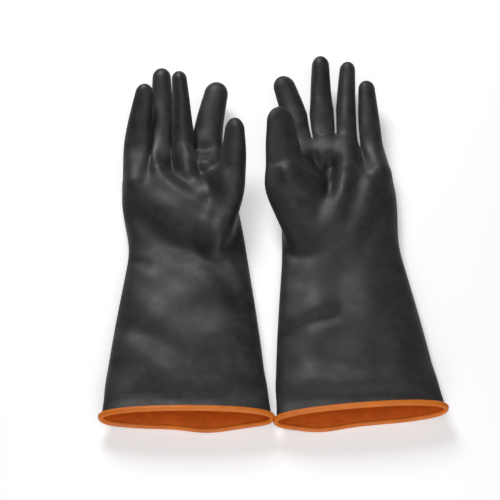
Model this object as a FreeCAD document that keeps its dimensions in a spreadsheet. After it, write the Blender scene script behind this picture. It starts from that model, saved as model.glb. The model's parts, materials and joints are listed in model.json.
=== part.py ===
"""A pair of two-ply rubber insulating gloves, lying palm up side by side, fingers away from the viewer.

Row frame: millimetres, +Z up, +Y from the cuffs to the fingertips, origin at the middle of the
footprint on the table. Each glove is laid out in its own frame first: origin under the centre of
its cuff on the table, thumb towards +X. The left glove is the mirror image, turned and laid down
a little differently, because soft rubber never falls the same way twice.

Every ply is one continuous moulding on the real glove. Here each ply is cut at the lines where it
flexes (wrist, root and middle of each digit), so that the segments can turn on hinges.
"""

import FreeCAD, Part
import collections
import math
import os

from FreeCAD import Placement, Rotation, Vector

SIDES = ("right", "left")
FINGERS = ("index", "middle", "ring", "little")
DIGITS = ("thumb",) + FINGERS
UP = Vector(0, 0, 1)
FORWARD = Vector(0, 1, 0)

# Driving dimensions, in millimetres and degrees. Half widths and heights are of the outside.
DIMENSIONS = {
    # Ply faces, as depths below the glove's outside.
    "shell_outside": 0.0,
    "shell_inside": 0.9,
    "liner_outside": 0.95,
    "liner_inside": 1.55,
    # Gauntlet. The cuff stands open, and leans back because the lower lip lies further out.
    "cuff_half_width": 83.5,
    "cuff_half_height": 16.5,
    "cuff_centre_height": 19.3,
    "cuff_slant": 16.0,
    "forearm_half_width": 73.5,
    "forearm_height": 32.0,
    "forearm_along": 90.0,
    "wrist_half_width": 60.5,
    "wrist_height": 28.0,
    "wrist_along": 178.0,
    # Hand. Heel and palm lean towards the little finger by a share of the knuckles' lean.
    "heel_half_width": 61.0,
    "heel_height": 35.0,
    "heel_along": 212.0,
    "heel_lean_share": 0.3,
    "palm_half_width": 58.0,
    "palm_height": 35.0,
    "palm_along": 255.0,
    "palm_lean_share": 0.75,
    "knuckle_half_width": 48.5,
    "knuckle_height": 28.0,
    "stub_length": 34.0,
    "stub_height": 14.0,
    "thenar_across": 30.0,
    "thenar_along": 200.0,
    "thenar_height": 13.0,
    "thenar_half_width": 29.0,
    "thenar_half_depth": 19.0,
    # Rolled cuff.
    "bead_radius": 2.8,
    "bead_setback": 1.5,
    # Flex lines: gap at the hinge, and how far a joint can straighten past its rest.
    "hinge_gap": 0.3,
    "straighten": 8.0,
    # Tip domes, as a share of the tip's half width.
    "dome_reach": 1.15,
}

# Each digit: length of its base and tip segments, and half widths at its root, middle and tip.
DIGIT_SIZES = {
    "thumb": dict(base=32.0, tip=27.0, root_half=14.5, mid_half=13.0, tip_half=10.0),
    "index": dict(base=38.0, tip=29.0, root_half=11.0, mid_half=10.8, tip_half=9.3),
    "middle": dict(base=41.0, tip=31.0, root_half=11.0, mid_half=10.3, tip_half=8.6),
    "ring": dict(base=41.0, tip=32.0, root_half=10.8, mid_half=10.0, tip_half=8.4),
    "little": dict(base=34.0, tip=28.0, root_half=10.6, mid_half=9.8, tip_half=8.0),
}

# How each glove lies: cuff position and turn, how far the knuckles lean from the cuff's centre
# line, and for each digit the root, its direction (splay sideways, lift off the table), how much
# more it curls and sways by its tip, its roll about its own axis, and how flat it is pressed.
LAY = {
    "right": {
        "cuff": dict(across=-86.0, along=0.0, turn=0.0),
        "knuckles": dict(lean=-19.0, along=280.0),
        "thumb": dict(x=43.0, y=245.0, z=32.0, splay=11.0, lift=18.0, curl=8.0, sway=-12.0, roll=60.0, flat=1.08),
        "index": dict(x=16.5, y=296.0, z=14.0, splay=4.0, lift=2.0, curl=14.0, sway=12.0, roll=0.0, flat=1.12),
        "middle": dict(x=-7.0, y=301.0, z=18.0, splay=-1.0, lift=20.0, curl=22.0, sway=-6.0, roll=0.0, flat=0.9),
        "ring": dict(x=-30.0, y=307.0, z=15.0, splay=0.0, lift=9.0, curl=8.0, sway=-2.0, roll=0.0, flat=1.1),
        "little": dict(x=-56.0, y=293.0, z=20.0, splay=3.0, lift=19.0, curl=16.0, sway=12.0, roll=0.0, flat=1.22),
    },
    "left": {
        "cuff": dict(across=86.0, along=3.0, turn=4.5),
        "knuckles": dict(lean=-9.0, along=288.0),
        "thumb": dict(x=49.0, y=256.0, z=33.0, splay=6.0, lift=20.0, curl=8.0, sway=-6.0, roll=20.0, flat=1.3),
        "index": dict(x=28.5, y=306.0, z=14.0, splay=6.0, lift=4.0, curl=14.0, sway=12.0, roll=0.0, flat=1.12),
        "middle": dict(x=4.5, y=320.0, z=15.0, splay=0.0, lift=10.0, curl=14.0, sway=-6.0, roll=0.0, flat=1.0),
        "ring": dict(x=-19.0, y=312.0, z=17.0, splay=-5.0, lift=8.0, curl=8.0, sway=-4.0, roll=0.0, flat=0.92),
        "little": dict(x=-43.5, y=298.0, z=17.0, splay=-4.0, lift=8.0, curl=12.0, sway=4.0, roll=0.0, flat=1.05),
    },
}


def fill_sheet(doc):
    """Puts every driving dimension into the spreadsheet under an alias of its own."""
    sheet = doc.addObject("Spreadsheet::Sheet", "Dims")
    cells = dict(DIMENSIONS)
    for digit, sizes in DIGIT_SIZES.items():
        cells.update({f"{digit}_{name}": value for name, value in sizes.items()})
    for side, lay in LAY.items():
        for item, values in lay.items():
            cells.update({f"{side}_{item}_{name}": value for name, value in values.items()})
    for row, (alias, value) in enumerate(cells.items(), start=1):
        sheet.set(f"A{row}", alias)
        sheet.set(f"B{row}", str(value))
        sheet.setAlias(f"B{row}", alias)
    doc.recompute()
    return sheet


DOC = FreeCAD.newDocument("Gloves")
SHEET = fill_sheet(DOC)


def cell(alias):
    """A driving dimension's value."""
    return float(SHEET.get(alias))


# A size bound to the sheet: the expression that an object takes, and what it comes to now.
Size = collections.namedtuple("Size", "expression value")


def plain(alias):
    return Size(f"Dims.{alias}", cell(alias))


def spread(alias, flat):
    """The half width of a section pressed flat."""
    return Size(f"Dims.{alias} * Dims.{flat}", cell(alias) * cell(flat))


def thinned(alias, flat):
    """The half depth of a section pressed flat."""
    return Size(f"Dims.{alias} / Dims.{flat}", cell(alias) / cell(flat))


class Station:
    """One elliptical cross-section of a glove: its centre, its normal, its palm side and its radii."""

    def __init__(self, centre, normal, palmward, across, depth):
        self.centre = centre
        self.normal = normal.normalize()
        self.palmward = (palmward - self.normal * palmward.dot(self.normal)).normalize()
        self.hinge_axis = self.normal.cross(self.palmward)
        self.across = across
        self.depth = depth

    def turned(self, degrees, point, slide=0.0):
        """The same section turned about the hinge axis through a point, then slid along its old normal."""
        turn = Rotation(self.hinge_axis, degrees)
        centre = point + turn.multVec(self.centre - point) + self.normal * slide
        return Station(centre, turn.multVec(self.normal), turn.multVec(self.palmward), self.across, self.depth)

    def moved(self, along):
        """The same section slid along its normal."""
        centre = self.centre + self.normal * along
        return Station(centre, self.normal, self.palmward, self.across, self.depth)

    def hinge_point(self):
        """The point on the section's palm side that a flex line passes through."""
        return self.centre + self.palmward * self.depth.value

    def past_hinge(self):
        """The section just past a flex line, drawn back on its far side so that the joint can straighten."""
        return self.turned(cell("straighten"), self.hinge_point(), cell("hinge_gap"))

    def placement(self):
        """Local X across, local Y towards the back of the hand, local Z along the normal."""
        return Placement(self.centre, Rotation(self.hinge_axis, self.palmward * -1, self.normal, "ZXY"))


class Glove:
    """One glove's lay: where its sections stand, in the row frame before the pair is centred."""

    def __init__(self, side):
        self.side = side
        self.mirror = 1 if side == "right" else -1
        self.turn = Rotation(UP, cell(f"{side}_cuff_turn"))
        self.cuff = Vector(cell(f"{side}_cuff_across"), cell(f"{side}_cuff_along"), 0)

    def direction(self, vector):
        return self.turn.multVec(Vector(vector.x * self.mirror, vector.y, vector.z))

    def point(self, x, y, z):
        return self.cuff + self.direction(Vector(x, y, z))

    def cross_section(self, x, y, z, across, depth):
        """A section square to the glove's length."""
        return Station(self.point(x, y, z), self.direction(FORWARD), self.direction(UP), across, depth)

    def cuff_station(self):
        size = plain("cuff_half_width"), plain("cuff_half_height")
        upright = self.cross_section(0, 0, cell("cuff_centre_height"), *size)
        return upright.turned(-cell("cuff_slant"), upright.centre)

    def wrist_station(self):
        size = plain("wrist_half_width"), plain("wrist_height")
        return self.cross_section(0, cell("wrist_along"), 0, *size)

    def gauntlet_stations(self):
        forearm = plain("forearm_half_width"), plain("forearm_height")
        middle = self.cross_section(0, cell("forearm_along"), 0, *forearm)
        return [self.cuff_station(), middle, self.wrist_station()]

    def palm_stations(self, skin):
        """Wrist to knuckles. The last section is the end wall, so it draws back by the skin's depth."""
        stations = [self.wrist_station().past_hinge()]
        lean = cell(f"{self.side}_knuckles_lean")
        end = cell(f"{self.side}_knuckles_along") - cell(skin)
        rows = (
            ("heel", cell("heel_lean_share"), cell("heel_along")),
            ("palm", cell("palm_lean_share"), cell("palm_along")),
            ("knuckle", 1.0, end),
        )
        for name, share, along in rows:
            size = plain(f"{name}_half_width"), plain(f"{name}_height")
            stations.append(self.cross_section(share * lean, along, 0, *size))
        return stations

    def thenar_stations(self):
        """The ball of the thumb, from inside the heel of the hand to the thumb's root."""
        start = self.point(cell("thenar_across"), cell("thenar_along"), cell("thenar_height"))
        root = self.digit_stations("thumb")[0]
        size = plain("thenar_half_width"), plain("thenar_half_depth")
        return [Station(start, root.normal, self.direction(UP), *size), root]

    def stub_stations(self, finger):
        """A finger's first stretch, from inside the palm to its root."""
        root = self.digit_stations(finger)[0]
        lay = f"{self.side}_{finger}"
        back = cell(f"{lay}_y") - cell("stub_length")
        start = self.cross_section(cell(f"{lay}_x"), back, cell("stub_height"), root.across, root.depth)
        return [start, root]

    def digit_stations(self, digit):
        """Root, middle and tip sections of a digit, along an arc that curls and sways."""
        lay = {name: cell(f"{self.side}_{digit}_{name}") for name in LAY[self.side][digit]}
        roll = math.radians(lay["roll"])
        palmward = self.direction(Vector(-math.sin(roll), 0, math.cos(roll)))
        flat = f"{self.side}_{digit}_flat"
        sections = (("root", 0.0, 0.0), ("mid", 0.5, cell(f"{digit}_base")), ("tip", 1.0, cell(f"{digit}_tip")))
        centre = self.point(lay["x"], lay["y"], lay["z"])
        stations = []
        for name, share, length in sections:
            centre = centre + self.heading(lay, share - 0.25) * length
            half = f"{digit}_{name}_half"
            size = spread(half, flat), thinned(half, flat)
            stations.append(Station(centre, self.heading(lay, share), palmward, *size))
        return stations

    def heading(self, lay, share):
        """A digit's direction, a share of the way from its root to its tip."""
        splay = math.radians(lay["splay"] + share * lay["sway"])
        lift = math.radians(lay["lift"] + share * lay["curl"])
        level = math.cos(lift)
        return self.direction(Vector(level * math.sin(splay), level * math.cos(splay), math.sin(lift)))

    def hinges(self):
        """Each flex line's point and axis. A positive turn about the axis closes the hand."""
        stations = {"wrist": self.wrist_station()}
        for digit in DIGITS:
            stations[f"{digit}_base"], stations[f"{digit}_tip"], _ = self.digit_stations(digit)
        return {f"{self.side}_{name}": (s.hinge_point(), s.hinge_axis) for name, s in stations.items()}


def ellipse(name, station, skin):
    """A section's outline at a skin's depth. The long radius has to come first, so a deep one is rolled."""
    outline = DOC.addObject("Part::Ellipse", name)
    radii = [station.across, station.depth]
    place = station.placement()
    if station.across.value < station.depth.value:
        radii.reverse()
        place = place * Placement(Vector(), Rotation(UP, 90))
    outline.setExpression("MajorRadius", f"{radii[0].expression} - Dims.{skin}")
    outline.setExpression("MinorRadius", f"{radii[1].expression} - Dims.{skin}")
    outline.Placement = place
    return outline


def loft(name, stations, skin):
    """A closed solid through a row of sections."""
    solid = DOC.addObject("Part::Loft", name)
    solid.Sections = [ellipse(f"{name}_{i}", station, skin) for i, station in enumerate(stations)]
    solid.Solid = True
    return solid


def dome(name, station, skin):
    """Half an ellipsoid that closes a tip."""
    cap = DOC.addObject("Part::Ellipsoid", name)
    cap.setExpression("Radius1", f"{station.across.expression} * Dims.dome_reach - Dims.{skin}")
    cap.setExpression("Radius2", f"{station.across.expression} - Dims.{skin}")
    cap.setExpression("Radius3", f"{station.depth.expression} - Dims.{skin}")
    cap.Angle1 = 0
    cap.Placement = station.placement()
    return cap


def fused(name, solids):
    """Several solids made one."""
    whole = DOC.addObject("Part::MultiFuse", name)
    whole.Shapes = solids
    return whole


def cut(name, base, tool):
    """One solid less another."""
    rest = DOC.addObject("Part::Cut", name)
    rest.Base, rest.Tool = base, tool
    return rest


def above_table(name, solid, skin):
    """A solid laid on the table: flat below, at the skin's depth."""
    reach, deep = 600, 60
    table = DOC.addObject("Part::Box", f"{name}_table")
    table.Length = table.Width = 2 * reach
    table.Height = deep
    table.Placement.Base = Vector(-reach, -reach, -deep)
    table.setExpression("Placement.Base.z", f"Dims.{skin} - {deep}")
    return cut(name, solid, table)


def gauntlet_volume(glove, skin):
    """Everything inside the gauntlet's skin, cuff to wrist."""
    name = f"{glove.side}_gauntlet_{skin}"
    return above_table(name, loft(f"{name}_loft", glove.gauntlet_stations(), skin), skin)


def hand_volume(glove, skin):
    """Everything inside the hand's skin: palm, ball of the thumb and the fingers' first stretches."""
    name = f"{glove.side}_hand_{skin}"
    solids = [
        loft(f"{name}_palm", glove.palm_stations(skin), skin),
        loft(f"{name}_thenar", glove.thenar_stations(), skin),
    ]
    solids += [loft(f"{name}_{finger}", glove.stub_stations(finger), skin) for finger in FINGERS]
    return above_table(name, fused(f"{name}_whole", solids), skin)


def digit_base_volume(glove, digit, skin):
    """Everything inside a digit's base segment, from its root to its middle flex line."""
    root, mid, _ = glove.digit_stations(digit)
    return loft(f"{glove.side}_{digit}_base_{skin}", [root.past_hinge(), mid], skin)


def digit_tip_volume(glove, digit, skin):
    """Everything inside a digit's tip segment, from its middle flex line to the end of its dome."""
    _, mid, tip = glove.digit_stations(digit)
    name = f"{glove.side}_{digit}_tip_{skin}"
    return fused(name, [loft(f"{name}_loft", [mid.past_hinge(), tip], skin), dome(f"{name}_dome", tip, skin)])


def two_plies(name, volume):
    """The black outer shell and the orange liner of one segment, each the space between two skins."""
    shell = cut(f"{name}_shell", volume("shell_outside"), volume("shell_inside"))
    liner = cut(f"{name}_liner", volume("liner_outside"), volume("liner_inside"))
    return [shell, liner]


def cuff_bead(glove):
    """The rolled orange edge: a round bead swept along the cuff, flat where it meets the plies' ends."""
    name = f"{glove.side}_cuff_bead"
    cuff = glove.cuff_station()
    centre_line = cuff.moved(-cell("bead_setback"))
    path = DOC.addObject("Part::Ellipse", f"{name}_path")
    path.setExpression("MajorRadius", "Dims.cuff_half_width - Dims.liner_inside / 2")
    path.setExpression("MinorRadius", "Dims.cuff_half_height - Dims.liner_inside / 2")
    path.Placement = centre_line.placement()
    profile = DOC.addObject("Part::Circle", f"{name}_profile")
    profile.setExpression("Radius", "Dims.bead_radius")
    start = centre_line.centre + cuff.hinge_axis * (cell("cuff_half_width") - cell("liner_inside") / 2)
    profile.Placement = Placement(start, Rotation(cuff.hinge_axis, cuff.normal, cuff.palmward, "ZXY"))
    roll = DOC.addObject("Part::Sweep", f"{name}_roll")
    roll.Sections = [profile]
    roll.Spine = (path, ["Edge1"])
    roll.Solid = True
    roll.Frenet = True
    return cut(name, roll, beyond_cuff(f"{name}_plies", cuff))


def beyond_cuff(name, cuff):
    """The space that the plies' ends take, on the finger side of the cuff's plane."""
    block = DOC.addObject("Part::Box", name)
    reach, clear = 100, cell("liner_outside") - cell("shell_inside")
    block.Length = block.Width = 2 * reach
    block.Height = reach
    block.Placement = cuff.placement() * Placement(Vector(-reach, -reach, -clear), Rotation())
    return block


def build_glove(glove):
    """All of one glove's nodes."""
    side = glove.side
    nodes = two_plies(f"{side}_gauntlet", lambda skin: gauntlet_volume(glove, skin))
    nodes.append(cuff_bead(glove))
    nodes += two_plies(f"{side}_hand", lambda skin: hand_volume(glove, skin))
    for digit in DIGITS:
        nodes += two_plies(f"{side}_{digit}_base", lambda skin: digit_base_volume(glove, digit, skin))
        nodes += two_plies(f"{side}_{digit}_tip", lambda skin: digit_tip_volume(glove, digit, skin))
    return nodes


def check(objects):
    """Stops if any object of the document failed, or any node isn't a sound solid."""
    for item in DOC.Objects:
        if {"Invalid", "Error"} & set(item.State):
            raise RuntimeError(f"{item.Name} failed: {item.State}")
    for node in objects:
        if node.Shape.isNull() or not node.Shape.isValid() or not node.Shape.Solids:
            raise RuntimeError(f"{node.Name} isn't a sound solid")


def centre_on_footprint(objects):
    """Slides the pair on the table so that the origin is the middle of its footprint. Returns the slide."""
    boxes = [node.Shape.optimalBoundingBox() for node in objects]
    middle_x = (min(box.XMin for box in boxes) + max(box.XMax for box in boxes)) / 2
    middle_y = (min(box.YMin for box in boxes) + max(box.YMax for box in boxes)) / 2
    slide = Vector(-middle_x, -middle_y, 0)
    for node in objects:
        node.Placement = Placement(slide, Rotation())
    DOC.recompute()
    return slide


def print_hinges(glove, slide):
    """The flex lines in the row frame, which the object's joints are placed by."""
    for name, (point, axis) in glove.hinges().items():
        place = [round(x, 3) for x in point + slide]
        print("hinge", name, *place, *[round(x, 6) for x in axis])


GLOVES = [Glove(side) for side in SIDES]
NODES = [node for glove in GLOVES for node in build_glove(glove)]
DOC.recompute()
check(NODES)
SLIDE = centre_on_footprint(NODES)
check(NODES)
os.makedirs("parts", exist_ok=True)
for node in NODES:
    node.Label = node.Name
    node.Shape.exportStep(f"parts/{node.Name}.step")
for glove in GLOVES:
    print_hinges(glove, SLIDE)
print("slide", *[round(x, 3) for x in SLIDE])
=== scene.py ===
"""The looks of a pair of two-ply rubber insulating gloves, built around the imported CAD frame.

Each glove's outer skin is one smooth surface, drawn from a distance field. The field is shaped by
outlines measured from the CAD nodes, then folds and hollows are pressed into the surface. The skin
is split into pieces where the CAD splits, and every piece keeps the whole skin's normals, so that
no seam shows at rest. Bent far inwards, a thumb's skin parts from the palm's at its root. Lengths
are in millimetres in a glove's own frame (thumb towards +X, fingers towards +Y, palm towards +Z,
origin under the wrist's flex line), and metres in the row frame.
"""

import json
import math
from collections import namedtuple

import bpy
import numpy as np
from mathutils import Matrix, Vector


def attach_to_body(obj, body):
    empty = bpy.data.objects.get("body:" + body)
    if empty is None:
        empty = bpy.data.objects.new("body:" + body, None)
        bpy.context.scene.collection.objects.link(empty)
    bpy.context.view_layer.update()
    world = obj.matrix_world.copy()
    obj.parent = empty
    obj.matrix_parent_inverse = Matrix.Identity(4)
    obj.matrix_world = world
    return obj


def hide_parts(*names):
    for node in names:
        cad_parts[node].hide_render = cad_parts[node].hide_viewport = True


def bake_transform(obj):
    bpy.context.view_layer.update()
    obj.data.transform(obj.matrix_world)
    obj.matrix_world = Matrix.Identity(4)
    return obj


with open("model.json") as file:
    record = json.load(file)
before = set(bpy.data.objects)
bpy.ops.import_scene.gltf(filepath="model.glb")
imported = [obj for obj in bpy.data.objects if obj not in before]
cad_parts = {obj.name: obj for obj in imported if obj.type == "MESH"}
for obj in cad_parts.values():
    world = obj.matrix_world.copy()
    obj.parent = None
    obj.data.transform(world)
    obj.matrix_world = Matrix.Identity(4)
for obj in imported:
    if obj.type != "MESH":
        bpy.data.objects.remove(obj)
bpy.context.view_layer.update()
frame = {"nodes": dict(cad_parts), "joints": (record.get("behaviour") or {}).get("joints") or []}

MM = 0.001
UP = np.array([0.0, 0.0, 1.0])
SIDES = ("right", "left")
FINGERS = ("index", "middle", "ring", "little")
DIGITS = ("thumb",) + FINGERS

WALL = 1.5  # both plies together
OUTER_STEP = 1.5  # grid spacing of the outer skin
LINER_STEP = 3.0
MARGIN = 8.0  # empty grid around the skin
FAR = 60.0  # stands for "nowhere near" in a distance field

SOLE_BAND = 9.0  # height below which an outline counts as the footprint
SIDE_HEIGHT = 10.0  # where a resting glove is widest
CROWN_BAND = 14.0  # width of the strip that the crown's height is read from
SOLE_EDGE = 4.0  # rounding where the skin leaves the table
KNUCKLE_ROUND = 40.0  # how far the hand's end is rounded off
FINGER_FILLET = 8.0  # between a finger's root and the palm
THUMB_FILLET = 8.0
NEIGHBOUR_FILLET = 3.0  # between two fingers' roots
FINGER_GAP = 2.4  # between neighbouring fingers, past their webs
GAP_OPENS = (-8.0, 2.0)  # past the finger's root
GAP_REACH = 12.0  # a gap is only cut this near to both of its fingers
LEAST_GAP = 0.05  # and only where it is wider than this
DIGIT_REACH = 16.0  # how far round a digit or a web its distance is worked out
THUMB_REACH = 24.0  # the same for the thumb
WRIST_SKIPPED = 4.0  # how far past the wrist's cut the palm is first measured

WRIST_ZONE = 22.0  # how far a zone reaches on each side of a flex line; the gauntlet's pieces end just past it
ROOT_ZONE = 22.0  # how far a finger's zone reaches past its root
THUMB_START = {"right": 0.0, "left": -6.0}  # past the thumb's flex line
THUMB_ZONE = 9.0  # how far its zone reaches
THUMB_TIP_STARTS = 2.0  # how far before its middle flex line the second zone starts
THUMB_SLANT = 1.1  # how far the thumb's zone leans out around the web
THUMB_RISE = 1.4  # and up, away from the palm that the thumb lies over
TIP_ZONE = 9.0  # how far a zone reaches past a middle flex line, and before a finger's
OWNED_DEPTH = 16.0  # how far from a digit's own surface the skin still belongs to it
CUT_MARGIN = 2.5  # pieces part this far before a zone starts

BEAD_RADIUS = 2.9
BEAD_SIDES = 14
BEAD_STATIONS = 180
LIP_SAG = {"right": (21.0, 4.5), "left": (40.0, 4.0)}  # across, and how far the lower lip sags open
LIP_WIDTH = 26.0
LIP_REACH = 40.0  # into the glove

Fold = namedtuple("Fold", "rise width path")

# Folds and hollows in the palm side. A path runs through (across, along) points: across is -1 at
# the little finger's edge and 1 at the thumb's, along is 0 at the wrist, 1 at the knuckles and -1
# at the cuff. A negative rise is a hollow.
FOLDS = {
    "right": (
        # ridges drawn from the fingers' webs into the palm, with a hollow between them
        Fold(3.0, 9.0, ((-0.52, 1.15), (-0.45, 0.95), (-0.2, 0.72), (0.2, 0.52), (0.5, 0.36))),
        Fold(2.2, 10.5, ((0.2, 1.35), (0.25, 1.1), (0.33, 0.8), (0.46, 0.5))),
        Fold(-3.2, 10.0, ((-0.3, 1.1), (0.02, 0.86), (0.28, 0.6))),
        Fold(-4.0, 9.5, ((0.5, 0.83), (0.58, 0.7), (0.62, 0.56))),
        # the web's drawn rim between thumb and index finger, and the recess behind it
        Fold(2.4, 5.5, ((0.3, 1.12), (0.44, 0.99), (0.62, 0.93), (0.8, 0.97))),
        Fold(-3.6, 8.0, ((0.46, 1.2), (0.64, 1.1), (0.82, 1.16))),
        # the heel's soft pad, and the sag between it and the wrist
        Fold(3.0, 18.0, ((-0.5, 0.55), (0.25, 0.26))),
        Fold(-3.8, 15.0, ((-0.95, 0.5), (-0.4, 0.13), (0.1, -0.08))),
        # a fold from the ball of the thumb across the wrist
        Fold(2.4, 10.0, ((0.2, 0.32), (0.56, 0.05), (0.86, -0.22))),
        Fold(-2.0, 10.0, ((0.0, 0.12), (0.45, -0.12), (0.8, -0.4))),
        Fold(-1.8, 6.0, ((-1.1, -0.04), (-0.6, -0.11))),
        # slack in the gauntlet
        Fold(2.2, 13.0, ((-1.05, -0.53), (-0.52, -0.66), (-0.1, -0.82))),
        Fold(-2.0, 12.0, ((-1.05, -0.44), (-0.45, -0.56), (0.0, -0.7))),
        Fold(-1.8, 14.0, ((0.1, -0.32), (0.95, -0.37))),
        Fold(1.6, 14.0, ((-0.1, -0.48), (0.8, -0.62))),
        Fold(-1.5, 15.0, ((0.2, -0.78), (0.9, -0.8))),
    ),
    "left": (
        # the palm's deep central hollow
        Fold(-7.5, 9.0, ((0.2, 0.92), (0.17, 0.74), (0.21, 0.5))),
        # the crease beside the ball of the thumb
        Fold(-3.2, 6.0, ((0.6, 1.0), (0.5, 0.88), (0.24, 0.7))),
        # ridges fanning out of the heel towards the fingers
        Fold(2.6, 10.5, ((0.2, 0.15), (-0.02, 0.5), (-0.12, 0.95))),
        Fold(-1.8, 10.0, ((-0.16, 0.25), (-0.26, 0.48), (-0.38, 0.74))),
        Fold(2.4, 12.0, ((-0.1, -0.02), (-0.4, 0.33), (-0.64, 0.75))),
        Fold(-2.2, 11.0, ((-0.4, 0.05), (-0.85, 0.5))),
        # the middle finger's web, drawn tight
        Fold(1.8, 4.5, ((0.6, 1.24), (0.3, 1.17), (0.02, 1.22))),
        # the sag below the ball of the thumb
        Fold(-3.4, 13.0, ((1.25, 0.58), (0.88, 0.24), (0.45, -0.02))),
        Fold(-0.9, 4.0, ((1.5, 0.82), (1.0, 0.79))),
        Fold(-1.8, 8.0, ((1.05, 0.03), (0.6, -0.05))),
        # slack in the gauntlet
        Fold(-2.0, 8.0, ((0.98, -0.53), (0.55, -0.46), (0.15, -0.43))),
        Fold(1.6, 11.0, ((0.9, -0.42), (0.2, -0.34))),
        Fold(1.8, 11.0, ((0.6, -0.77), (0.0, -0.93))),
        Fold(-1.5, 10.0, ((0.6, -0.66), (-0.1, -0.82))),
        Fold(1.7, 11.0, ((0.0, -0.83), (-0.75, -0.92))),
        Fold(1.6, 16.0, ((-0.2, -0.2), (-0.55, -0.65))),
        Fold(-1.4, 15.0, ((0.3, -0.15), (0.0, -0.6))),
    ),
}
FOLD_POINTS = 40
FOLD_WORN = 20  # rounds of wear on a fold's corners

# Sheets of rubber drawn between the digits: their two ends as (across, along, height over the
# sole), an open end being the thumb's, and their half width along the glove and half thickness.
Web = namedtuple("Web", "start end size")
WEBS = {
    "right": (Web((0.36, 0.64, 24.0), None, (12.0, 7.0)),),
    "left": (
        Web((0.3, 0.5, 22.0), None, (12.0, 7.0)),
        Web((0.42, 1.0, 22.0), (0.0, 1.0, 24.0), (15.0, 7.5)),
    ),
}
WEB_ON_THUMB = 0.1  # how far along the thumb's base segment a sheet reaches it
WEB_FILLET = 10.0

# How much wider than their CAD segments the soft digits fill out, and the share of that by which
# they grow thicker too.
FULLER = {
    "right": {"thumb": 1.18, "index": 1.24, "middle": 1.04, "ring": 1.08, "little": 1.04},
    "left": {"thumb": 1.18, "index": 1.14, "middle": 1.1, "ring": 1.1, "little": 1.06},
}
FULLER_THICKNESS = 1 / 3

FLOOR_GLOW = 0.36  # how brightly the floor shines towards the camera

HOLLOW_PAINTED_SHADE = (-0.3, -4.0)  # fold heights over which painted shade darkens the hollows
# how far the painted shade in the hollows darkens the colour, at most
HOLLOW_PAINTED_SHADE_SHARE = 0.9

WAVES = ((0.7, 75.0, 0.4), (0.45, 47.0, 2.1), (0.2, 29.0, 4.0))  # height, length, turn
RELIEF_STARTS = (2.0, 22.0)  # past the cuff, where folds and waves begin and where they are full
FACING_UP = (0.05, 0.7)  # upward share of a normal, where folds begin and where they are full
BEAD_LOWEST = 0.05  # above the table
SHEEN_ROUGHNESS = 0.45


def unit(v):
    return v / np.linalg.norm(v)


def smoothstep(x, low, high):
    t = np.clip((x - low) / (high - low), 0, 1)
    return t * t * (3 - 2 * t)


def smooth_min(a, b, k):
    """The union of two distance fields, with a fillet about k wide."""
    h = np.clip(0.5 + 0.5 * (b - a) / k, 0, 1)
    return b + (a - b) * h - k * h * (1 - h)


def smooth_row(values, rounds):
    """A row of numbers with its corners worn down and its ends kept."""
    values = np.array(values, float)
    for _ in range(rounds):
        padded = np.concatenate([[2 * values[0] - values[1]], values, [2 * values[-1] - values[-2]]])
        values = (padded[:-2] + 2 * padded[1:-1] + padded[2:]) / 4
    return values


# ---------------------------------------------------------------- what the CAD frame says


class Glove:
    """One glove's own frame, and outlines measured from its CAD nodes."""

    def __init__(self, side):
        self.side = side
        self.joints = {j["name"]: j for j in frame["joints"]}
        wrist = self.joints[f"{side}_wrist_bend"]
        axis = np.array(wrist["axis"])
        thumbward = axis if side == "right" else -axis
        self.basis = np.stack([thumbward, np.cross(UP, axis), UP], axis=1)
        self.origin = np.array([*wrist["pos_m"][:2], 0.0])
        self.meshes = {}

    def local(self, points):
        return (np.asarray(points) - self.origin) @ self.basis / MM

    def row(self, points):
        return self.origin + np.asarray(points) * MM @ self.basis.T

    def hinge(self, name):
        joint = self.joints[f"{self.side}_{name}_bend"]
        return self.local(joint["pos_m"]), np.array(joint["axis"]) @ self.basis

    def mesh(self, node):
        """A CAD node's points and edges, in the glove's own frame."""
        if node not in self.meshes:
            data = frame["nodes"][f"{self.side}_{node}"].data
            points = np.zeros(len(data.vertices) * 3)
            data.vertices.foreach_get("co", points)
            edges = np.zeros(len(data.edges) * 2, np.int32)
            data.edges.foreach_get("vertices", edges)
            self.meshes[node] = self.local(points.reshape(-1, 3)), edges.reshape(-1, 2)
        return self.meshes[node]

    def slice(self, node, point, normal):
        """Where a plane cuts a CAD node's edges."""
        points, edges = self.mesh(node)
        side = (points - point) @ normal
        a, b = edges[:, 0], edges[:, 1]
        hit = side[a] * side[b] < 0
        share = (side[a] / (side[a] - side[b] + 1e-12))[hit, None]
        return points[a[hit]] * (1 - share) + points[b[hit]] * share

    def section(self, node, point, normal, across):
        """Centre, half width and half depth of a CAD node where a plane cuts it."""
        over = np.cross(normal, across)
        cut = self.slice(node, point, normal) - point
        wide, deep = cut @ across, cut @ over
        centre = point + across * (wide.max() + wide.min()) / 2 + over * (deep.max() + deep.min()) / 2
        return centre, np.array([np.ptp(wide) / 2, np.ptp(deep) / 2])


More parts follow.
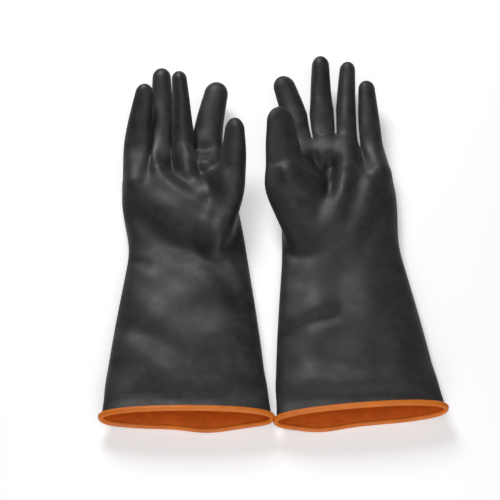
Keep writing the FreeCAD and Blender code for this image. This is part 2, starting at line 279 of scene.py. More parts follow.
class Chain:
    """A tube with an elliptical section that changes along a curved centre line."""

    SAMPLE = 1.0

    def __init__(self, centres, sizes, across, end_across, worn, end_round=None):
        """Resamples the given sections evenly along the centre line, and wears the corners down."""
        centres, sizes = np.array(centres), np.array(sizes)
        steps = np.linalg.norm(np.diff(centres, axis=0), axis=1)
        along = np.concatenate([[0], np.cumsum(steps)])
        count = int(along[-1] / self.SAMPLE)
        at = np.linspace(0, along[-1], count)
        rows = [smooth_row(np.interp(at, along, centres[:, k]), worn) for k in range(3)]
        self.centres = np.stack(rows, 1)
        self.sizes = np.stack([smooth_row(np.interp(at, along, sizes[:, k]), worn) for k in range(2)], 1)
        self.tangents = np.gradient(self.centres, axis=0)
        self.tangents /= np.linalg.norm(self.tangents, axis=1)[:, None]
        share = np.linspace(0, 1, count)[:, None]
        self.across = across * (1 - share) + end_across * share
        self.across -= self.tangents * np.sum(self.across * self.tangents, axis=1)[:, None]
        self.across /= np.linalg.norm(self.across, axis=1)[:, None]
        self.end_round = end_round or self.sizes[-1, 0]

    def distance(self, points):
        """Signed distance from points to the tube's skin, near enough."""
        nearest = np.zeros(len(points), np.int64)
        chunk = 200000
        squares = np.sum(self.centres**2, axis=1)
        for i in range(0, len(points), chunk):
            part = points[i : i + chunk]
            nearest[i : i + chunk] = np.argmin(squares - 2 * part @ self.centres.T, axis=1)
        off = points - self.centres[nearest]
        u = np.sum(off * self.across[nearest], axis=1)
        w = np.sum(off * self.tangents[nearest], axis=1)
        v = np.sqrt(np.maximum(np.sum(off**2, axis=1) - u**2 - w**2, 0))
        a, b = self.sizes[nearest].T
        ends = np.where(nearest == len(self.centres) - 1, self.end_round, a)
        w = np.where((nearest == 0) | (nearest == len(self.centres) - 1), w, 0)
        r = np.sqrt((u / a) ** 2 + (v / b) ** 2 + (w / ends) ** 2) + 1e-6
        slope = np.sqrt((u / a**2) ** 2 + (v / b**2) ** 2 + (w / ends**2) ** 2) / r + 1e-6
        return (r - 1) / slope

    def box(self, margin):
        reach = self.sizes.max(axis=1)[:, None] + margin
        return (self.centres - reach).min(axis=0), (self.centres + reach).max(axis=0)


class Limb:
    """A digit: a chain measured from its two CAD segments, with its root flowing into the palm."""

    BASE_SHARES = (0.2, 0.55, 0.9)
    TIP_SHARES = (0.25, 0.55)
    DOME = 1.15  # of the tip's half width
    WORN = 140
    BURIED = 34.0  # how far a finger's root reaches back into the palm
    FLARES = {  # of the base segment's widths, from the root on
        "thumb": (1.4, 1.06, 1.0, 1.0),
        "index": (1.3, 1.14, 1.05, 1.0),
        "middle": (1.4, 1.24, 1.1, 1.0),
        "ring": (1.3, 1.14, 1.05, 1.0),
        "little": (1.1, 1.14, 1.1, 1.04),
    }
    SLOT_OVERLAP = 1.0
    THENAR_ALONG = 20.0  # where the ball of the thumb starts, past the wrist
    THENAR_ACROSS = 0.45  # of the wrist's half width
    THENAR_HALF = (31.0, 18.0)

    def __init__(self, glove, digit):
        self.root, root_axis = glove.hinge(f"{digit}_base")
        self.bend, bend_axis = glove.hinge(f"{digit}_tip")
        self.ahead = unit(self.bend - self.root)
        across = unit(root_axis - self.ahead * (root_axis @ self.ahead))
        centres, sizes = self.base_sections(glove, digit, across)
        end_across = self.add_tip(glove, digit, bend_axis, centres, sizes)
        fuller = FULLER[glove.side][digit]
        sizes = [size * np.array([fuller, 1 + (fuller - 1) * FULLER_THICKNESS]) for size in sizes]
        back, back_size = self.thenar(glove) if digit == "thumb" else self.palm_slot(glove.tube, digit)
        centres.insert(0, back)
        sizes.insert(0, back_size)
        end_round = self.DOME * sizes[-1][0]
        self.chain = Chain(centres, sizes, across, end_across, self.WORN, end_round)
        self.set_zones(digit == "thumb", glove.side)

    def base_sections(self, glove, digit, across):
        """The base segment's sections, with one more at the root, flared."""
        length = np.linalg.norm(self.bend - self.root)
        node = f"{digit}_base_shell"
        cuts = [
            glove.section(node, self.root + self.ahead * length * share, self.ahead, across)
            for share in self.BASE_SHARES
        ]
        centres = [c for c, _ in cuts]
        sizes = [s for _, s in cuts]
        back = self.BASE_SHARES[0] / (self.BASE_SHARES[1] - self.BASE_SHARES[0])
        centres.insert(0, centres[0] + (centres[0] - centres[1]) * back)
        sizes.insert(0, sizes[0])
        sizes = [size * np.array([wider, 1.0]) for size, wider in zip(sizes, self.FLARES[digit])]
        return centres, sizes

    def add_tip(self, glove, digit, bend_axis, centres, sizes):
        """Adds the tip segment's sections, and returns the direction across them."""
        node = f"{digit}_tip_shell"
        points, _ = glove.mesh(node)
        end = points[np.argmax(points @ self.ahead)]
        start = centres[-1]
        onward = unit(end - start)
        across = unit(bend_axis - onward * (bend_axis @ onward))
        reach = np.linalg.norm(end - start)
        for share in self.TIP_SHARES:
            centre, size = glove.section(node, start + onward * reach * share, onward, across)
            centres.append(centre)
            sizes.append(size)
        dome = self.DOME * sizes[-1][0]
        centre, size = glove.section(node, end - onward * dome, onward, across)
        centres.append(centre)
        sizes.append(size)
        return across

    def thenar(self, glove):
        """The ball of the thumb, where the thumb's chain starts."""
        middle, half, *_ = glove.tube.shape(self.THENAR_ALONG)
        height = self.THENAR_HALF[1] - 3
        return np.array([middle + self.THENAR_ACROSS * half, self.THENAR_ALONG, height]), self.THENAR_HALF

    def palm_slot(self, tube, digit):
        """The quarter of the palm that a finger grows out of."""
        level = unit(np.array([self.ahead[0], self.ahead[1], 0.0]))
        y = (self.root - level * self.BURIED)[1]
        middle, half, _, _, top = tube.shape(y)
        quarter = half / len(FINGERS)
        x = middle + half - quarter * (2 * FINGERS.index(digit) + 1)
        return np.array([x, y, top / 2]), (quarter * self.SLOT_OVERLAP, top / 2)

    def set_zones(self, thumb, side):
        """Where the zone around each flex line starts and ends; the pieces part just before its start."""
        out, start, zone, before_tip = self.ahead, self.root, ROOT_ZONE, TIP_ZONE
        if thumb:
            out = unit(self.ahead + np.array([THUMB_SLANT, 0, THUMB_RISE]))
            start = self.root + self.ahead * THUMB_START[side]
            zone, before_tip = THUMB_ZONE, THUMB_TIP_STARTS
        self.zones = {
            "base": (start, start + out * zone),
            "tip": (self.bend - self.ahead * before_tip, self.bend + self.ahead * TIP_ZONE),
        }

    def past_root(self, points):
        """How far points lie beyond the root's flex line."""
        return (points - self.root) @ self.ahead


class Tube:
    """The gauntlet and palm: one pillow-like section that changes along the glove."""

    STATION = 6.0
    UPPER_POWER = 2.15
    LOWER_POWER = 2.7
    END_POWER = 2.2
    KNUCKLE_TAPER = 0.04  # how much the palm narrows into the finger roots
    CUFF_EASE = 55.0  # how far behind the cuff its open mouth has settled flat
    WORN = 7

    def __init__(self, glove):
        hand_points, _ = glove.mesh("hand_shell")
        sole = hand_points[hand_points[:, 2] < 3]
        self.end = sole[:, 1].max()
        bead, _ = glove.mesh("cuff_bead")
        self.cuff = bead.mean(axis=0)
        ring = np.ptp(bead, axis=0) / 2 - BEAD_RADIUS + WALL / 2
        self.cuff_half = ring[0], ring[2]
        slant = bead[np.argmin(bead[:, 2])] - bead[np.argmax(bead[:, 2])]
        normal = unit(np.cross(np.array([1.0, 0, 0]), slant))
        self.cuff_normal = normal * np.sign(normal[1])
        self.measure(glove)

    def measure(self, glove):
        """Footprint and crown at even stations, cuff to knuckles."""
        self.along = np.arange(self.cuff[1] + self.STATION, self.end - 1, self.STATION)
        low, high, crown = [], [], []
        for y in self.along:
            node = "gauntlet_shell" if y < 0 else "hand_shell"
            nudge = WRIST_SKIPPED if 0 <= y < WRIST_SKIPPED else 0.0
            cut = glove.slice(node, np.array([0, y + nudge, 0]), np.array([0, 1.0, 0]))
            sole = cut[cut[:, 2] < SOLE_BAND]
            low.append(sole[:, 0].min())
            high.append(sole[:, 0].max())
            middle = (low[-1] + high[-1]) / 2
            crown.append(cut[np.abs(cut[:, 0] - middle) < CROWN_BAND][:, 2].max())
        self.low, self.high, self.crown = (smooth_row(row, self.WORN) for row in (low, high, crown))

    def shape(self, y):
        """Middle, half width, widest height, bottom and top of the section at y."""
        low, high, crown = (np.interp(y, self.along, row) for row in (self.low, self.high, self.crown))
        open_share = 1 - smoothstep(y, self.cuff[1], self.cuff[1] + self.CUFF_EASE)
        wide, tall = self.cuff_half
        middle = (low + high) / 2
        half = (high - low) / 2 * (1 - self.KNUCKLE_TAPER * smoothstep(y, self.end - 50, self.end - 5))
        widest = SIDE_HEIGHT + open_share * (self.cuff[2] - SIDE_HEIGHT)
        bottom = open_share * (self.cuff[2] - tall)
        top = crown + open_share * (self.cuff[2] + tall - crown)
        half = half + open_share * (wide - half)
        middle = middle + open_share * (self.cuff[0] - middle)
        return middle, half, widest, bottom, top

    def at(self, across, along):
        """The flat place of a point given by its shares across and along the glove."""
        y = along * self.end if along > 0 else -along * self.cuff[1]
        middle, half, *_ = self.shape(y)
        return middle + across * half, y

    def distance(self, x, y, z):
        """Signed distance on a grid, near enough. x, y and z are the grid's axes."""
        middle, half, widest, bottom, top = (value[None, :, None] for value in self.shape(y))
        u = np.abs(x[:, None, None] - middle) / half
        rise = z[None, None, :] - widest
        v = np.where(rise > 0, rise / (top - widest), -rise / (widest - bottom))
        power = np.where(rise > 0, self.UPPER_POWER, self.LOWER_POWER)
        r = (u**power + v**power) ** (1 / power)
        past = np.maximum(y - (self.end - KNUCKLE_ROUND), 0)[None, :, None] / KNUCKLE_ROUND
        r = (r**self.END_POWER + past**self.END_POWER) ** (1 / self.END_POWER)
        slope = np.sqrt(sum(g**2 for g in np.gradient(r, x[1] - x[0])))
        return (r - 1) / np.maximum(slope, 1e-3)


def web_sheet(glove, web):
    """A sheet of rubber between two digits, or between the palm and the thumb."""
    start = np.array([*glove.tube.at(*web.start[:2]), web.start[2]])
    if web.end:
        end = np.array([*glove.tube.at(*web.end[:2]), web.end[2]])
    else:
        thumb = glove.limbs["thumb"]
        end = thumb.root + (thumb.bend - thumb.root) * WEB_ON_THUMB
    along_glove = np.array([0, 1.0, 0])
    return Chain([start, (start + end) / 2, end], [web.size] * 3, along_glove, along_glove, 4)


# ---------------------------------------------------------------- the skin as a surface


def grid_around(glove, step):
    """The axes of a grid that holds the whole glove."""
    tube = glove.tube
    lows = [[tube.cuff[0] - tube.cuff_half[0], tube.cuff[1] - MARGIN, 0], [tube.low.min(), 0, 0]]
    highs = [[tube.cuff[0] + tube.cuff_half[0], 0, 0], [tube.high.max(), 0, tube.crown.max()]]
    for limb in glove.limbs.values():
        low, high = limb.chain.box(0.0)
        lows.append([low[0], low[1], 0])
        highs.append(high)
    low = np.min(lows, axis=0) - MARGIN
    high = np.max(highs, axis=0) + MARGIN
    return [np.arange(low[k], high[k], step) for k in range(3)]


def on_grid(measure, box, axes, nowhere):
    """A measure of points, worked out on the part of the grid inside a box."""
    field = np.full([len(axis) for axis in axes], nowhere)
    span = tuple(slice(*np.searchsorted(axes[k], (box[0][k], box[1][k]))) for k in range(3))
    points = np.stack(np.meshgrid(*(axes[k][span[k]] for k in range(3)), indexing="ij"), -1)
    field[span] = measure(points.reshape(-1, 3)).reshape(points.shape[:3])
    return field


def finger_field(glove, axes):
    """The four fingers, parted by a narrow gap past their webs."""
    parts = []
    for name in FINGERS:
        limb = glove.limbs[name]
        box = limb.chain.box(DIGIT_REACH)
        distance = on_grid(limb.chain.distance, box, axes, FAR)
        parts.append((distance, on_grid(limb.past_root, box, axes, -FAR)))
    field = parts[0][0]
    for distance, _ in parts[1:]:
        field = smooth_min(field, distance, NEIGHBOUR_FILLET)
    for (a, past_a), (b, past_b) in zip(parts, parts[1:]):
        gap = FINGER_GAP * smoothstep(np.maximum(past_a, past_b), *GAP_OPENS)
        near = (gap > LEAST_GAP) & (a < GAP_REACH) & (b < GAP_REACH)
        slot = np.where(near, (gap - np.abs(a - b)) / 2, -FAR)
        field = np.maximum(field, slot)
    return field


def skin_field(glove, step, inset):
    """The glove's distance field on a grid, a depth below the outside, and the grid's axes."""
    axes = grid_around(glove, step)
    field = smooth_min(glove.tube.distance(*axes), finger_field(glove, axes), FINGER_FILLET)
    thumb = glove.limbs["thumb"].chain
    field = smooth_min(field, on_grid(thumb.distance, thumb.box(THUMB_REACH), axes, FAR), THUMB_FILLET)
    for web in WEBS[glove.side]:
        sheet = web_sheet(glove, web)
        field = smooth_min(field, on_grid(sheet.distance, sheet.box(DIGIT_REACH), axes, FAR), WEB_FILLET)
    table = np.broadcast_to(-axes[2], field.shape)
    return -smooth_min(-field, -table, SOLE_EDGE) + inset, axes


def surface_nets(field, corner, step):
    """Quads around the field's zero level, one vertex per crossed cell."""
    inside = field < 0
    cells = tuple(n - 1 for n in field.shape)
    total = np.zeros(cells + (3,))
    count = np.zeros(cells)
    crossings = []
    for axis in range(3):
        first = [slice(None)] * 3
        second = [slice(None)] * 3
        first[axis], second[axis] = slice(0, -1), slice(1, None)
        f0, f1 = field[tuple(first)], field[tuple(second)]
        i = np.argwhere(inside[tuple(first)] != inside[tuple(second)])
        others = [k for k in range(3) if k != axis]
        limit = np.array(field.shape) - 1
        ok = np.all([(i[:, k] > 0) & (i[:, k] < limit[k]) for k in others], axis=0)
        i = i[ok]
        a, b = f0[tuple(i.T)], f1[tuple(i.T)]
        point = i.astype(float)
        point[:, axis] += a / (a - b)
        corners = []
        for du, dv in ((1, 1), (0, 1), (0, 0), (1, 0)):
            c = i.copy()
            c[:, others[0]] -= du
            c[:, others[1]] -= dv
            corners.append(c)
            np.add.at(total, tuple(c.T), point)
            np.add.at(count, tuple(c.T), 1)
        flip = (a < 0) if axis != 1 else (a >= 0)
        crossings.append((corners, flip))
    used = count > 0
    index = np.full(cells, -1)
    index[used] = np.arange(used.sum())
    vertices = total[used] / count[used][:, None] * step + corner
    quads = []
    for corners, flip in crossings:
        quad = np.stack([index[tuple(c.T)] for c in corners], axis=1)
        quads.append(np.where(flip[:, None], quad, quad[:, ::-1]))
    return vertices, np.concatenate(quads)


def sampled(field, corner, step, points):
    """The field between grid points."""
    at = np.clip((points - corner) / step, 0, np.array(field.shape) - 1.001)
    base = at.astype(int)
    share = at - base
    value = 0
    for dx in (0, 1):
        for dy in (0, 1):
            for dz in (0, 1):
                weight = np.prod(np.where([dx, dy, dz], share, 1 - share), axis=1)
                value = value + weight * field[base[:, 0] + dx, base[:, 1] + dy, base[:, 2] + dz]
    return value


def neighbours(quads, count):
    """Each edge of the quads, both ways, and how many edges each vertex has."""
    edges = np.concatenate([quads[:, [k, (k + 1) % 4]] for k in range(4)])
    edges = np.unique(np.sort(edges, axis=1), axis=0)
    both = np.concatenate([edges, edges[:, ::-1]])
    return both, np.bincount(both[:, 0], minlength=count)


def averaged(values, both, degree):
    """Each vertex's mean over its neighbours."""
    sums = [np.bincount(both[:, 0], values[both[:, 1], k], len(degree)) for k in range(values.shape[1])]
    return np.stack(sums, 1) / np.maximum(degree, 1)[:, None]


def normals_of(vertices, quads):
    """Smooth vertex normals, weighted by face area."""
    a, b, c, d = (vertices[quads[:, k]] for k in range(4))
    face = np.cross(c - a, d - b)
    sums = [sum(np.bincount(quads[:, j], face[:, k], len(vertices)) for j in range(4)) for k in range(3)]
    out = np.stack(sums, 1)
    return out / np.maximum(np.linalg.norm(out, axis=1), 1e-12)[:, None]


def skin_surface(glove, step, inset):
    """The skin at a depth below the outside: vertices and quads, open at the cuff."""
    field, axes = skin_field(glove, step, inset)
    corner = np.array([axis[0] for axis in axes])
    vertices, quads = surface_nets(field, corner, step)
    both, degree = neighbours(quads, len(vertices))
    for _ in range(4):
        vertices = vertices + 0.6 * (averaged(vertices, both, degree) - vertices)
        value = sampled(field, corner, step, vertices)
        vertices = vertices - value[:, None] * normals_of(vertices, quads)
    vertices, quads = open_cuff(glove.tube, vertices, quads)
    vertices = pressed(glove, vertices, normals_of(vertices, quads))
    return sagged(glove, vertices), quads


def open_cuff(tube, vertices, quads):
    """Drops what lies beyond the cuff's plane, and lays the edge that is left on the plane."""
    beyond = (vertices - tube.cuff) @ tube.cuff_normal
    quads = quads[(beyond[quads] > 0).any(axis=1)]
    kept = np.unique(quads)
    index = np.full(len(vertices), -1)
    index[kept] = np.arange(len(kept))
    vertices, beyond = vertices[kept], beyond[kept]
    vertices = vertices - np.minimum(beyond, 0)[:, None] * tube.cuff_normal
    return vertices, index[quads]


def fold_rise(tube, fold, x, y):
    """How far a fold lifts the skin: a ridge or valley with a bell-shaped section and soft ends."""
    points = np.array([tube.at(across, along) for across, along in fold.path])
    at = np.linspace(0, len(points) - 1, FOLD_POINTS)
    path = [smooth_row(np.interp(at, range(len(points)), points[:, k]), FOLD_WORN) for k in range(2)]
    length = np.sum(np.hypot(*np.diff(path, axis=1)))
    share = length / (FOLD_POINTS - 1) / (fold.width * math.sqrt(math.pi))
    rise = np.zeros(len(x))
    for px, py in zip(*path):
        rise += np.exp(-((x - px) ** 2 + (y - py) ** 2) / fold.width**2)
    return fold.rise * share * rise


def fold_height(glove, vertices):
    """How far the folds and hollows lift the upper side."""
    x, y = vertices[:, 0], vertices[:, 1]
    past_cuff = (vertices - glove.tube.cuff) @ glove.tube.cuff_normal
    rise = sum(fold_rise(glove.tube, fold, x, y) for fold in FOLDS[glove.side])
    return rise * smoothstep(past_cuff, *RELIEF_STARTS)


def waves(glove, vertices):
    """Slow swells all over the skin."""
    side_turn = 0.0 if glove.side == "right" else 1.3
    total = np.zeros(len(vertices))
    for height, length, turn in WAVES:
        lean = turn + side_turn
        phase = (vertices[:, 0] * math.cos(lean) + vertices[:, 1] * math.sin(lean)) * 2 * math.pi / length
        total += height * np.sin(phase + lean)
    past_cuff = (vertices - glove.tube.cuff) @ glove.tube.cuff_normal
    return total * smoothstep(past_cuff, *RELIEF_STARTS)


def pressed(glove, vertices, normals):
    """The skin with its folds and swells."""
    out = vertices.copy()
    facing = smoothstep(normals[:, 2], *FACING_UP)
    out[:, 2] += (fold_height(glove, vertices) + waves(glove, vertices)) * facing
    return out


def sagged(glove, vertices):
    """The cuff's lower lip, sagging outwards at one place."""
    tube = glove.tube
    across, reach = LIP_SAG[glove.side]
    past_cuff = (vertices - tube.cuff) @ tube.cuff_normal
    near = 1 - smoothstep(past_cuff, 0.0, LIP_REACH)
    low = 1 - smoothstep(vertices[:, 2], tube.cuff[2] - tube.cuff_half[1], tube.cuff[2] + 2)
    spread = np.exp(-(((vertices[:, 0] - tube.cuff[0] - across) / LIP_WIDTH) ** 2))
    return vertices - (reach * near * low * spread)[:, None] * tube.cuff_normal


# ---------------------------------------------------------------- pieces


def owner_of(glove, points):
    """The piece that each point belongs to: the nearest digit's, past its root, or the palm's."""
    trunk = np.where(points[:, 1] < WRIST_ZONE + CUT_MARGIN, "gauntlet", "hand").astype(object)
    owner = trunk.copy()
    nearest = np.full(len(points), OWNED_DEPTH)
    for name, limb in glove.limbs.items():
        distance = limb.chain.distance(points)
        closer = distance < nearest
        nearest = np.where(closer, distance, nearest)
        start, end = limb.zones["base"]
        past = (points - start) @ unit(end - start) > -CUT_MARGIN
        tip_start, tip_end = limb.zones["tip"]
        beyond = (points - tip_start) @ unit(tip_end - tip_start) > -CUT_MARGIN
        owner[closer] = trunk[closer]
        owner[closer & past] = f"{name}_base"
        owner[closer & past & beyond] = f"{name}_tip"
    return owner


def make_piece(name, glove, vertices, quads, normals, material):
    """A mesh object in the row frame, with the given normals and its resting place for texture."""
    kept = np.unique(quads)
    index = np.full(len(vertices), -1)
    index[kept] = np.arange(len(kept))
    faces = index[quads]
    if glove.side == "left":
        faces = faces[:, ::-1]
    places = glove.row(vertices[kept])
    mesh = bpy.data.meshes.new(name)
    mesh.from_pydata(places.tolist(), [], faces.tolist())
    mesh.polygons.foreach_set("use_smooth", np.ones(len(faces), bool))
    rest = mesh.attributes.new("rest", "FLOAT_VECTOR", "POINT")
    rest.data.foreach_set("vector", places.astype(np.float32).ravel())
    # the folds' height, from which the materials paint shade into the hollows and light onto the ridges
    lift = mesh.attributes.new("lift", "FLOAT", "POINT")
    lift.data.foreach_set("value", fold_height(glove, vertices[kept]).astype(np.float32))
    mesh.update()
    mesh.normals_split_custom_set_from_vertices((normals[kept] @ glove.basis.T).tolist())
    mesh.materials.append(material)
    piece = bpy.data.objects.new(name, mesh)
    bpy.context.scene.collection.objects.link(piece)
    return piece


def attach(piece, glove, owner):
    """Ties a palm piece to its hand's body; the gauntlet's and digits' pieces stay where they are, with
    their transforms applied.
    """
    side = glove.side
    if owner == "gauntlet":
        reach = np.array([0, WRIST_ZONE, 0])
        glove.row(-reach)
        glove.row(reach)
        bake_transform(piece)
    elif owner == "hand":
        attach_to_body(piece, f"{side}_hand")
    else:
        digit, segment = owner.rsplit("_", 1)
        start, end = glove.limbs[digit].zones[segment]
        glove.row(start)
        glove.row(end)
        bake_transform(piece)


def build_ply(glove, ply, step, inset, material):
    """One ply of a glove, split into pieces. Returns its vertices and quads."""
    vertices, quads = skin_surface(glove, step, inset)
    if ply == "liner":
        quads = quads[:, ::-1]
    normals = normals_of(vertices, quads)
    owners = owner_of(glove, vertices[quads].mean(axis=1))
    for owner in sorted(set(owners)):
        name = f"{glove.side}_{owner}_{ply}"
        piece = make_piece(f"{name}_skin", glove, vertices, quads[owners == owner], normals, material)
        attach(piece, glove, owner)
        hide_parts(name)
    return vertices, quads


def cuff_edge(glove, vertices, quads):
    """The open edge at the cuff, as evenly turned points."""
    edges = np.concatenate([quads[:, [k, (k + 1) % 4]] for k in range(4)])
    edges, uses = np.unique(np.sort(edges, axis=1), axis=0, return_counts=True)
    rim = vertices[np.unique(edges[uses == 1])]
    off = (rim - glove.tube.cuff) / np.array([glove.tube.cuff_half[0], 1, glove.tube.cuff_half[1]])
    turn = np.arctan2(off[:, 2], off[:, 0])
    order = np.argsort(turn)
    turn, rim = turn[order], rim[order]
    at = np.linspace(-math.pi, math.pi, BEAD_STATIONS, endpoint=False)
    return np.stack([np.interp(at, turn, rim[:, k], period=2 * math.pi) for k in range(3)], 1)


def wear_ring(ring, rounds):
    for _ in range(rounds):
        ring = (np.roll(ring, 1, axis=0) + 2 * ring + np.roll(ring, -1, axis=0)) / 4
    return ring


def build_bead(glove, vertices, quads, material):
    """The rolled edge of the cuff: a solid ring around both plies' edges."""
    path = wear_ring(cuff_edge(glove, vertices, quads), 4)
    ahead = np.roll(path, -1, axis=0) - np.roll(path, 1, axis=0)
    ahead /= np.linalg.norm(ahead, axis=1)[:, None]
    inward = np.cross(glove.tube.cuff_normal, ahead)
    inward /= np.linalg.norm(inward, axis=1)[:, None]
    along = np.cross(ahead, inward)
    middle = path + inward * WALL / 2
    turns = np.linspace(0, 2 * math.pi, BEAD_SIDES, endpoint=False)
    rings = [inward * math.cos(t) + along * math.sin(t) for t in turns]
    normals = np.stack(rings, 1).reshape(-1, 3)
    points = np.repeat(middle, BEAD_SIDES, axis=0) + normals * BEAD_RADIUS
    points[:, 2] = np.maximum(points[:, 2], BEAD_LOWEST)
    station, corner = np.meshgrid(range(BEAD_STATIONS), range(BEAD_SIDES), indexing="ij")
    after, beside = (station + 1) % BEAD_STATIONS, (corner + 1) % BEAD_SIDES
    corners = ((station, corner), (station, beside), (after, beside), (after, corner))
    grid = [s * BEAD_SIDES + c for s, c in corners]
    faces = np.stack(grid, -1).reshape(-1, 4)
    name = f"{glove.side}_cuff_bead"
    piece = make_piece(f"{name}_roll", glove, points, faces, normals, material)
    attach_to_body(piece, f"{glove.side}_gauntlet")
    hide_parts(name)


def build_glove(side, black, orange, bead):
    glove = Glove(side)
    glove.tube = Tube(glove)
    glove.limbs = {digit: Limb(glove, digit) for digit in DIGITS}
    skin = build_ply(glove, "shell", OUTER_STEP, 0.0, black)
    build_ply(glove, "liner", LINER_STEP, WALL, orange)
    build_bead(glove, *skin, bead)


# ---------------------------------------------------------------- materials


def node(tree, kind, **inputs):
    """A shader node, with some of its inputs set or linked."""
    made = tree.nodes.new(kind)
    for name, value in inputs.items():
        socket = made.inputs[name.replace("_", " ")]
        if isinstance(value, bpy.types.NodeSocket):
            tree.links.new(value, socket)
        else:
            socket.default_value = value
    return made


def noise(tree, place, scale, detail, roughness=0.55):
    """A cloud pattern over the resting skin. The scale is in bumps per metre."""
    texture = node(tree, "ShaderNodeTexNoise", Vector=place, Scale=scale, Detail=detail, Roughness=roughness)
    return texture.outputs["Fac"]


def spread(tree, value, low, high, to_low, to_high):
    """A value moved from one range to another."""
    made = node(
        tree,
        "ShaderNodeMapRange",
        Value=value,
        From_Min=low,
        From_Max=high,
        To_Min=to_low,
        To_Max=to_high,
    )
    return made.outputs["Result"]


def mixed(tree, share, first, second):
    """A colour between two others."""
    made = tree.nodes.new("ShaderNodeMix")
    made.data_type = "RGBA"
    tree.links.new(share, made.inputs["Factor"])
    for socket, value in zip((made.inputs[6], made.inputs[7]), (first, second)):
        if isinstance(value, bpy.types.NodeSocket):
            tree.links.new(value, socket)
        else:
            socket.default_value = (*value, 1)
    return made.outputs[2]


def bumped(tree, heights):
    """Bump nodes in a row: each height with its strength and depth in metres."""
    normal = None
    for height, strength, depth in heights:
        made = node(tree, "ShaderNodeBump", Height=height, Strength=strength, Distance=depth)
        if normal:
            tree.links.new(normal, made.inputs["Normal"])
        normal = made.outputs["Normal"]
    return normal


def rubber(name, dark, light, stain, gloss, specular, dust):
    """Dipped rubber: mottled colour, painted shade in the folds' hollows and painted light on their ridges,
    patchy gloss, a fine orange-peel skin, slow dents and powder.
    """
    material = bpy.data.materials.new(name)
    material.use_nodes = True
    tree = material.node_tree
    shader = tree.nodes["Principled BSDF"]
    rest = tree.nodes.new("ShaderNodeAttribute")
    rest.attribute_name = "rest"
    place = rest.outputs["Vector"]
    mottle = spread(tree, noise(tree, place, 95.0, 6), 0.35, 0.68, 0, 1)
    cloud = spread(tree, noise(tree, place, 16.0, 3), 0.4, 0.7, 0, 0.5)
    speck = spread(tree, noise(tree, place, 420.0, 2), 0.62, 0.75, 0, 0.35)
    colour = mixed(tree, mottle, dark, light)
    colour = mixed(tree, cloud, colour, stain)
    colour = mixed(tree, speck, colour, light)
    # Painted shade and light: the folds' height darkens the colour in the hollows and lightens it on the
    # ridges, in place of the shade and light that fall there.
    lift = tree.nodes.new("ShaderNodeAttribute")
    lift.attribute_name = "lift"
    # painted shade: darker where a fold sinks the skin
    low = spread(tree, lift.outputs["Fac"], *HOLLOW_PAINTED_SHADE, 0, HOLLOW_PAINTED_SHADE_SHARE)
    colour = mixed(tree, low, colour, tuple(c * 0.25 for c in dark))
    # painted light: lighter where a fold lifts the skin
    high = spread(tree, lift.outputs["Fac"], 0.5, 3.5, 0, 0.5)
    colour = mixed(tree, high, colour, tuple(c * 1.5 for c in light))
    tree.links.new(colour, shader.inputs["Base Color"])
    patchy = spread(tree, noise(tree, place, 28.0, 5, 0.65), 0.35, 0.7, *gloss)
    tree.links.new(patchy, shader.inputs["Roughness"])
    shader.inputs["Specular IOR Level"].default_value = specular
    shader.inputs["Sheen Weight"].default_value = dust
    shader.inputs["Sheen Roughness"].default_value = SHEEN_ROUGHNESS
    heights = (
        (noise(tree, place, 24.0, 3), 0.3, 0.0008),
        (noise(tree, place, 130.0, 4), 0.22, 0.0003),
        (noise(tree, place, 900.0, 2), 0.18, 0.0001),
    )
    tree.links.new(bumped(tree, heights), shader.inputs["Normal"])
    return material


def black_ply():
    dark, light, stain = (0.0125, 0.013, 0.014), (0.032, 0.0325, 0.034), (0.034, 0.031, 0.027)
    return rubber("black_rubber", dark, light, stain, (0.46, 0.64), 0.5, 0.09)


def orange_ply():
    dark, light, stain = (0.72, 0.135, 0.01), (0.88, 0.19, 0.015), (0.55, 0.09, 0.008)
    return rubber("orange_rubber", dark, light, stain, (0.45, 0.62), 0.3, 0.0)


def orange_bead():
    dark, light, stain = (0.8, 0.19, 0.012), (0.92, 0.25, 0.02), (0.68, 0.14, 0.01)
    return rubber("bead_rubber", dark, light, stain, (0.38, 0.52), 0.4, 0.0)


# ---------------------------------------------------------------- stage and camera


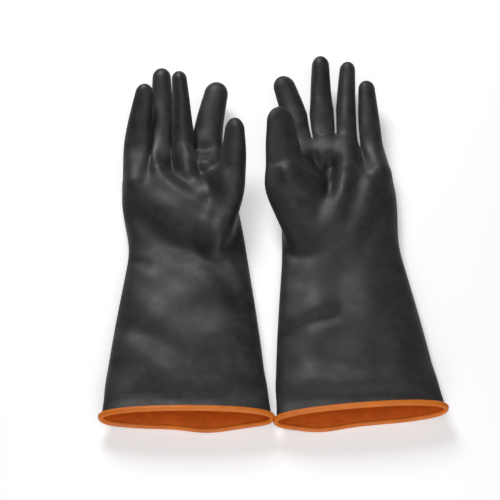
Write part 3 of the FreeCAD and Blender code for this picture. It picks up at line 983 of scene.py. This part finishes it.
def build_floor():
    """A white sheet, lit a little from behind as the camera sees it."""
    bpy.ops.mesh.primitive_plane_add(size=8)
    floor = bpy.context.object
    floor.name = "floor"
    material = bpy.data.materials.new("floor")
    material.use_nodes = True
    shader = material.node_tree.nodes["Principled BSDF"]
    shader.inputs["Base Color"].default_value = (0.92, 0.92, 0.92, 1)
    shader.inputs["Roughness"].default_value = 0.9
    shader.inputs["Emission Color"].default_value = (1, 1, 1, 1)
    seen = material.node_tree.nodes.new("ShaderNodeLightPath").outputs["Is Camera Ray"]
    glow = spread(material.node_tree, seen, 0, 1, 0, FLOOR_GLOW)
    material.node_tree.links.new(glow, shader.inputs["Emission Strength"])
    floor.data.materials.append(material)


def build_sky():
    """A white studio, brightest overhead."""
    world = bpy.data.worlds.new("world")
    bpy.context.scene.world = world
    world.use_nodes = True
    tree = world.node_tree
    place = tree.nodes.new("ShaderNodeTexCoord").outputs["Generated"]
    dot = tree.nodes.new("ShaderNodeVectorMath")
    dot.operation = "DOT_PRODUCT"
    tree.links.new(place, dot.inputs[0])
    dot.inputs[1].default_value = (-0.2, 0.1, 0.97)
    glow = spread(tree, dot.outputs["Value"], 0.0, 1.0, 0.6, 1.3)
    tree.links.new(glow, tree.nodes["Background"].inputs["Strength"])


def add_lamp(name, place, size, power):
    light = bpy.data.lights.new(name, "AREA")
    light.energy = power
    light.size = size
    lamp = bpy.data.objects.new(name, light)
    lamp.location = place
    lamp.rotation_euler = (-lamp.location).to_track_quat("-Z", "Y").to_euler()
    bpy.context.scene.collection.objects.link(lamp)


def build_camera():
    elevation = math.radians(65)
    distance = 1.6
    target = Vector((-0.0218, -0.0082, 0))
    data = bpy.data.cameras.new("camera")
    data.lens = 110.2
    camera = bpy.data.objects.new("camera", data)
    camera.location = target + distance * Vector((0, -math.cos(elevation), math.sin(elevation)))
    camera.rotation_euler = (target - camera.location).to_track_quat("-Z", "Y").to_euler()
    bpy.context.scene.collection.objects.link(camera)
    bpy.context.scene.camera = camera
    bpy.context.scene.view_settings.view_transform = "Standard"


black, orange, bead = black_ply(), orange_ply(), orange_bead()
for side in SIDES:
    build_glove(side, black, orange, bead)
build_floor()
build_sky()
add_lamp("key", (-0.35, 0.9, 0.95), 0.5, 11.0)
add_lamp("fill", (0.25, -0.7, 1.4), 1.2, 6.0)
add_lamp("cuff_light", (0.0, -1.0, 0.4), 0.5, 3.0)
build_camera()
